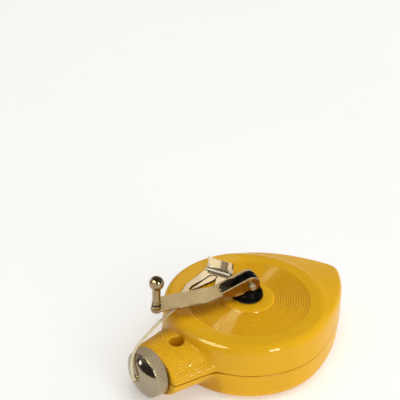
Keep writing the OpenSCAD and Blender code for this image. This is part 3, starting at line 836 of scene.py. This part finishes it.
def mark_sharp(o, degrees):
    """Keeps crisp edges crisp and the rest smooth."""
    me = o.data
    me.calc_loop_triangles()
    import bmesh
    bm = bmesh.new()
    bm.from_mesh(me)
    lim = math.radians(degrees)
    for e in bm.edges:
        if len(e.link_faces) == 2:
            e.smooth = e.calc_face_angle(0) < lim
    bm.to_mesh(me)
    bm.free()


cap()
prof = rounded([(0.78, 54.6), (1.28, 54.6), (1.28, 56.05), (1.72, 56.07), (1.72, 56.45), (1.42, 56.7), (1.08, 56.7), (0.78, 56.45)], 0.16, 4, True)
v, f = lathe([(r, s) for r, s in prof], 64, "-x", (0, 0, PZ), True)
add("cap_eyelet_ring", v, f, M_BALL, "cap", ["cap_eyelet"])

# --------------------------------------------------------------- the hub ----
CA, SA = math.cos(ARM_TURN), math.sin(ARM_TURN)


def to_row(v):
    return np.stack([CA * v[:, 0] - SA * v[:, 1], SA * v[:, 0] + CA * v[:, 1], v[:, 2]], 1)


TONGUE_SIDE = [(5.6, 29), (5.6, 33.5), (4.4, 34.6)] + \
              [(-0.5 + 3.6 * math.cos(math.radians(a)), 32.7 + 3.6 * math.sin(math.radians(a))) for a in range(50, 169, 8)] + [(-4.1, 32.7), (-4.1, 29)]


def hub_shape(x, y, z):
    r = np.hypot(x, y)
    foot = smax(smax(r - 5.75, z - 28.9, 0.9), 26.45 - z, 0.4)
    cone = smax(r - (5.7 - 0.42 * (z - 28.2)), z - 30.9, 1.4)
    cone = np.maximum(cone, 27 - z)
    f = smin(foot, cone, 0.7)
    tab = rmax(rmax(np.abs(x - 5.5) - 1.05, np.abs(y - 0.9) - 1.1, 0.25), np.abs(z - 27.2) - 0.72, 0.25)
    f = smin(f, tab, 0.4)
    tongue = poly_dist(TONGUE_SIDE, x, z)
    tongue = rmax(tongue, np.abs(y) - 2.46, 0.35)
    ways = np.maximum(np.maximum(np.abs(np.abs(y) - 3.15) - 0.6, 28.85 - z), np.abs(x) - 8)
    f = smax(f, -ways, 0.3)
    return smin(f, tongue, 0.25)


v, f, n = skin(hub_shape, (-6.4, -6.4, 25.9), (7.2, 6.4, 37.0), 0.22)
nr = to_row(n)
add("hub_body", to_row(v), f, M_HUB, "reel", ["crank_hub"], nr)

# ------------------------------------------------------------- the crank ----
KNOB = (39.5, 3.1)
ARM_PLAN = [(11.6, -3.5), (35.4, -3.6), (40.7, 0.9), (41.5, 2), (41.7, 3.3), (41.2, 4.6), (40, 5.3), (19, 5.8), (13.2, 3.9), (11.6, 3.5)]
EAR = [(12.6, 30.62), (14.0, 30.62), (14.0, 31.38), (12.9, 31.75), (11.5, 32.4)] + \
      [(-0.15 + 3.45 * math.cos(math.radians(a)), 33.25 + 3.45 * math.sin(math.radians(a))) for a in range(68, 276, 8)] + [(6.2, 29.25)]


def arm_shape(x, y, z):
    plan = poly_dist(ARM_PLAN, x, y)
    dip = step(13.2 - x, 0.0, 7.4)
    mid = 31.0 - 1.45 * dip
    flat = rmax(plan, np.abs(z - 31.0) - 0.4, 0.16)
    flat = np.maximum(flat, 12.4 - x)
    floor = rmax(np.abs(y) - 3.1, np.abs(z - mid) - 0.4, 0.16)
    floor = rmax(floor, np.abs(x - 9.7) - 3.5, 0.16)
    f = smin(flat, floor, 0.3)
    ear = rmax(poly_dist(EAR, x, z), np.abs(np.abs(y) - 3.05) - 0.45, 0.14)
    f = smin(f, ear, 0.55)
    bore = np.hypot(x, z - 33.3) - 1.3
    f = np.maximum(f, -np.maximum(bore, np.abs(y) - 7))
    post = np.hypot(x - KNOB[0], y - KNOB[1]) - 1.55
    return np.maximum(f, -np.maximum(post, np.abs(z - 31) - 3))


v, f, n = skin(arm_shape, (-4.4, -4.4, 28.4), (42.4, 6.6, 37.6), 0.2)
o = add("crank_plate", to_row(v), f, M_ARM, "crank", ["crank_arm"], to_row(n))
o.data.materials.append(M_EAR_SHADED)
o.data.materials.append(M_TROUGH_SHADE)
o.data.materials.append(M_EDGE_SHADED)
mid, up = v[f].mean(1), n[f].mean(1)[:, 2]
# The ears' sides take the darker nickel, as painted shade.
which = np.where((mid[:, 0] < 12.2) & (np.abs(mid[:, 1]) > 3.38), 1, 0)
# The arm's side edges take the dark brown, as painted shade.
which[(mid[:, 0] > 12.2) & (np.abs(up) < 0.75)] = 3
# The trough floor takes the near-black, as painted shade and reflection.
which[(mid[:, 0] < 11.7 + 0.5 * np.sin(2.9 * mid[:, 1]) + 0.25 * np.sin(7.3 * mid[:, 1])) & (np.abs(mid[:, 1]) < 2.72) & (up > -0.3) & (mid[:, 2] < 34)] = 2
o.data.polygons.foreach_set("material_index", which.astype(np.int32))

prof = rounded([(0, -5.4), (1.12, -5.4), (1.3, -5.18), (1.3, 5.18), (1.12, 5.4), (0, 5.4)], [0, 0.12, 0.2, 0.2, 0.12, 0], 4)
prof = [(0, -5.36)] + prof[1:-1] + [(0, 5.36)]
v, f = lathe(prof, 56)
v = np.stack([v[:, 0], v[:, 2], v[:, 1] + 33.3], 1)
add("crank_pin", to_row(v), [q[::-1] for q in f], M_PIN, "crank", ["crank_pivot_pin"])

T = 30.6 + 0.8
prof = [(0, 29.65)] + rounded([(0, 29.65), (1.5, 29.65), (2.0, 30.1), (2.0, 30.55), (1.5, 30.55), (1.5, T + 0.04), (1.9, T + 0.04),
                               (1.9, T + 1.42), (1.4, T + 1.6), (1.4, T + 2.0), (1.82, T + 2.16), (1.82, T + 2.9),
                               (1.62, T + 3.3), (1.58, T + 6.0), (1.65, T + 9.0)], [0, 0.25, 0.25, 0.1, 0.1, 0.05, 0.12, 0.22, 0.12, 0.12, 0.15, 0.2, 0.25, 0.5, 0], 4)[1:]
prof += [(2.9 * math.cos(math.radians(a)), 43.0 + 2.9 * math.sin(math.radians(a))) for a in np.linspace(-55, 89, 40)] + [(0, 45.9)]
v, f = lathe(prof, 72)
v[:, 0] += KNOB[0]
v[:, 1] += KNOB[1]
o = add("knob_turned", to_row(v), f, M_BALL, "knob", ["crank_knob"])
mark_sharp(o, 55)
# The collar's groove takes the near-black, as painted shade.
o.data.materials.append(M_GROOVE_SHADE)
high = np.array([v[list(q), 2].mean() for q in f])
o.data.polygons.foreach_set("material_index", ((high > T + 1.38) & (high < T + 2.2)).astype(np.int32))

# -------------------------------------------------------------- the hook ----
HOOK_PLAN = [(-0.4, -5.5), (15, -5.5), (19.5, -4.2), (24, -2.5), (25.6, -1.6), (26.1, -0.6), (26.1, 0.6), (25.6, 1.6), (24, 2.5), (19.5, 4.2), (15, 5.5), (-0.4, 5.5)]
SLOT = [(4, -1.4), (8.2, -1.75), (14.5, -2.85), (17, -2.5), (17.6, -1.5), (17.2, 2), (15.2, 3.9), (8.9, 4.2), (5.3, 2.3), (4, 1.2)]
TONGUE = [(3.3, -1.1), (8.2, -1.42), (14, -1.7), (16.2, -1.85), (16.5, -1.65), (16.4, -1.3), (14.8, -0.4), (10.5, 0.6), (6.5, 1.8), (3.3, 1.95)]
ARCH = [(8.2, -1.56), (4.9, -1.25), (3.5, -0.5), (3.1, 0.4), (3.15, 1.1), (3.6, 1.75), (4.6, 1.9)]
LIP = [(-0.2, 0.0), (-0.75, 0.05), (-1.15, 0.4), (-3.0, 4.45), (-2.4, 4.85), (-0.62, 1.0), (-0.2, 0.7)]


def hook_shape(x, y, z):
    xs = x + 0.19 * y * step(-x, -6.0, -1.0)
    plan = rmax(poly_dist(HOOK_PLAN, xs, y), -x - 4, 0.1)
    gap = np.maximum(poly_dist(SLOT, x, y), -poly_dist(TONGUE, x, y))
    plan = np.maximum(plan, -gap)
    plan = np.maximum(plan, 0.8 - np.hypot(x - 21.8, y))
    f = rmax(plan, np.abs(z - 0.35) - 0.35, 0.12)
    # lip, leaning back and skewed a little, with a shallow crown across its width
    high = np.clip(z - 0.7, 0, None)
    yl = y + 0.26 * high
    lip = rmax(poly_dist(LIP, xs + 0.010 * (yl - 1.0) ** 2 * step(z, 0.8, 2.4), z), np.abs(yl) - 5.5, 0.12)
    f = smin(f, lip, 0.2)
    # raised band along the bend, with a groove on either side
    band = rmax(rmax(np.hypot(xs - 0.3, z - 0.35) - 0.78, np.abs(y) - 5.4, 0.12), 0.1 - z, 0.1)
    f = np.minimum(f, band)
    for at, deep in ((1.2, 0.55), (-0.62, 0.75)):
        f = smax(f, -np.maximum(np.hypot(xs - at, z - deep - 0.2) - 0.24, np.abs(y) - 6), 0.06)
    # bend line at the tongue's root
    d = np.full(np.broadcast(x, y).shape, 9.0)
    for (ax, ay), (bx, by) in zip(ARCH, ARCH[1:]):
        ex, ey = bx - ax, by - ay
        t = np.clip(((x - ax) * ex + (y - ay) * ey) / (ex * ex + ey * ey), 0, 1)
        d = np.minimum(d, np.hypot(x - ax - t * ex, y - ay - t * ey))
    return smax(f, -np.maximum(d - 0.15, 0.42 - z), 0.06)


v, f, n = skin(hook_shape, (-5.2, -7.4, -0.5), (26.9, 6.4, 5.5), 0.14)
c, s = math.cos(math.radians(194)), math.sin(math.radians(194))


def hook_row(v, move=True):
    w = np.stack([c * v[:, 0] - s * v[:, 1], s * v[:, 0] + c * v[:, 1], v[:, 2]], 1)
    return w + np.array([1.6, 19.6, 25.45]) if move else w


HOOK = add("hook_plate", hook_row(v), f, M_HOOK, "case", ["line_hook"], hook_row(n, False))
HOOK.data.materials.append(M_BEND_SHADED)
fn = n[f].mean(1)
fn /= np.linalg.norm(fn, axis=1, keepdims=True)
# Faces that are not flat take the dark copy, as painted shade.
level = (np.abs(fn[:, 2]) > 0.97) | (np.abs(fn @ np.array([0.893, 0.17, 0.415])) > 0.965)
fc = v[f].mean(1)
xs = fc[:, 0] + 0.19 * fc[:, 1] * step(-fc[:, 0], -6.0, -1.0)
level &= ~((xs > -1.0) & (xs < 1.42) & (fc[:, 2] > 0.2))
which = (~level).astype(np.int32)
HOOK.data.materials.append(M_BAND_REFLECTION)
HOOK.data.materials.append(M_GROOVE_SHADE)
# The bend's crest and the lip's ends take the pale colour, as a painted reflection.
top = (xs > -0.42) & (xs < 0.98) & (fc[:, 2] > 0.62) & (np.abs(fc[:, 1]) < 5.3)
which[top] = 2
which[(xs < -0.7) & (fc[:, 2] > 0.9) & (fc[:, 2] < 2.3) & (np.abs(fc[:, 1]) > 4.2)] = 2
# The hook's two grooves take the near-black, as painted shade.
for at, deep in ((1.2, 0.55), (-0.62, 0.75)):
    which[(np.hypot(xs - at, fc[:, 2] - deep - 0.2) < 0.28) & (np.abs(fc[:, 1]) < 5.3)] = 3
HOOK.data.polygons.foreach_set("material_index", which)

# ------------------------------------------- CAD nodes that stay as they are ----
for name, mat in {
        "case_screws": M_STEEL, "upper_bush": M_BRASS, "lower_bush": M_BRASS, "hub_seal": M_FELT, "spindle": M_STEEL,
        "spool_core": M_STEEL, "spool_upper_flange": M_STEEL, "spool_lower_flange": M_STEEL, "upper_thrust_washer": M_BRASS,
        "lower_thrust_washer": M_BRASS, "line_winding": M_WOUND, "anchor_knot": M_WOUND, "hub_cross_pin": M_STEEL,
        "cap_gasket": M_RUBBER, "felt_wiper": M_FELT, "inner_line": M_WOUND}.items():
    NODES[name].data.materials.clear()
    NODES[name].data.materials.append(mat)

# ------------------------------------------------------- floor and lights ----
me = bpy.data.meshes.new("floor")
me.from_pydata([(-3, -3, -0.0002), (3, -3, -0.0002), (3, 3, -0.0002), (-3, 3, -0.0002)], [], [(0, 1, 2, 3)])
floor = bpy.data.objects.new("floor", me)
SCENE.collection.objects.link(floor)
fm, nt, links, b = material("floor_paper", (0.75, 0.75, 0.745), 0.0, 0.7)
links.new(ramp(nt, links, noise(nt, links, coords(nt, links), 8, 3), [(0.3, (0.745, 0.745, 0.74)), (0.7, (0.76, 0.76, 0.757))]), b.inputs["Base Color"])
b.inputs["Emission Color"].default_value = (1, 1, 0.99, 1)
b.inputs["Emission Strength"].default_value = 0.32
me.materials.append(fm)

world = bpy.data.worlds.new("studio")
SCENE.world = world
world.use_nodes = True
wn, wl = world.node_tree.nodes, world.node_tree.links
tc, sep = wn.new("ShaderNodeTexCoord"), wn.new("ShaderNodeSeparateXYZ")
wl.new(tc.outputs["Generated"], sep.inputs[0])
sky = ramp(wn, wl, sep.outputs["Z"], [(0.0, (0.70, 0.69, 0.66)), (0.10, (0.48, 0.47, 0.45)), (0.22, (0.22, 0.215, 0.20)), (0.5, (0.17, 0.167, 0.155)), (1.0, (0.08, 0.08, 0.075))])
wl.new(sky, wn["Background"].inputs["Color"])
wn["Background"].inputs["Strength"].default_value = 1.0


def area(name, direction, distance, size, power, colour=(1, 1, 1), target=(-0.01, 0, 0.015), size_y=None, glossy=True, diffuse=True):
    d = bpy.data.lights.new(name, "AREA")
    d.shape = "RECTANGLE"
    d.size, d.size_y = size, size_y or size
    d.energy = power
    d.color = colour
    o = bpy.data.objects.new(name, d)
    SCENE.collection.objects.link(o)
    u = Vector(direction).normalized()
    o.location = Vector(target) + u * distance
    o.rotation_mode = "QUATERNION"
    o.rotation_quaternion = (-u).to_track_quat("-Z", "Y")
    o.visible_camera = False
    o.visible_glossy, o.visible_diffuse = glossy, diffuse
    return o


area("overhead", (0.1, -0.1, 1.0), 3.0, 3.0, 63.0, glossy=False)
area("front_fill", (-0.10, -0.9, 0.42), 3.0, 2.0, 31.0, glossy=False)
area("right_fill", (0.8, -0.35, 0.36), 3.0, 2.0, 19.5, (0.97, 1.0, 0.92), glossy=False)
area("softbox", (-0.715, 0.10, 0.66), 0.9, 0.70, 1.1, size_y=0.45, diffuse=False)
area("softbox_core", (-0.743, 0.0256, 0.669), 0.8, 0.56, 10.5, (0.90, 1.0, 0.56), size_y=0.42, diffuse=False).data.shape = "ELLIPSE"
area("side", (-0.065, -0.885, 0.46), 0.9, 0.18, 4.2, (0.97, 1.0, 0.85), size_y=0.22, diffuse=False)


def card(name, corners, colour, strength):
    """A studio card or lamp that is only seen in reflections."""
    me = bpy.data.meshes.new(name)
    me.from_pydata([tuple(c) for c in corners], [], [(0, 1, 2, 3)])
    o = bpy.data.objects.new(name, me)
    SCENE.collection.objects.link(o)
    m = bpy.data.materials.new(name)
    m.use_nodes = True
    bs = m.node_tree.nodes["Principled BSDF"]
    bs.inputs["Base Color"].default_value = (0.004, 0.004, 0.004, 1)
    bs.inputs["Roughness"].default_value = 1.0
    bs.inputs["Specular IOR Level"].default_value = 0.0
    bs.inputs["Emission Color"].default_value = (*colour, 1)
    bs.inputs["Emission Strength"].default_value = strength
    me.materials.append(m)
    o.visible_camera = o.visible_diffuse = o.visible_shadow = o.visible_transmission = False
    return o


A, B = (-0.112, -0.068), (-0.232, 0.215)
card("dark_flag", [(*A, 0), (*B, 0), (*B, 0.046), (*A, 0.046)], (1, 1, 0.95), 0.06)
C = Vector((-0.1366, 0.0566, 0.0258))
side, rise = Vector((0.57, 0.82, 0)).normalized() * 0.007, Vector((0, 0, 0.007))
card("small_lamp", [C - side - rise, C + side - rise, C + side + rise, C - side + rise], (1, 0.98, 0.95), 6.0)

# two cards behind the reel that its flat metal parts mirror
mid = Vector((0.051, 0.083, 0.078))
w, u = Vector((0.75, -0.66, 0)).normalized(), Vector((-0.34, -0.39, 0.85)).normalized()
for name, w0, w1, strength in (("back_card", -0.003, 0.016, 1.15), ("back_card_dim", -0.034, -0.003, 0.85)):
    card(name, [mid + w * w0 - u * 0.026, mid + w * w1 - u * 0.026, mid + w * w1 + u * 0.03, mid + w * w0 + u * 0.03], (1, 0.98, 0.94), strength)

# and a pair in front of the hook's lip
mid, w, u = Vector((-0.040, 0.032, 0.0365)), Vector((0.272, 0.962, 0)), Vector((0.18, -0.05, 0.98)).normalized()
for name, w0, w1, strength in (("lip_card", -0.0163, 0.005, 1.15), ("lip_card_far", -0.035, -0.0214, 1.0)):
    card(name, [mid + w * w0 - u * 0.008, mid + w * w1 - u * 0.008, mid + w * w1 + u * 0.013, mid + w * w0 + u * 0.013], (1, 0.97, 0.92), strength)
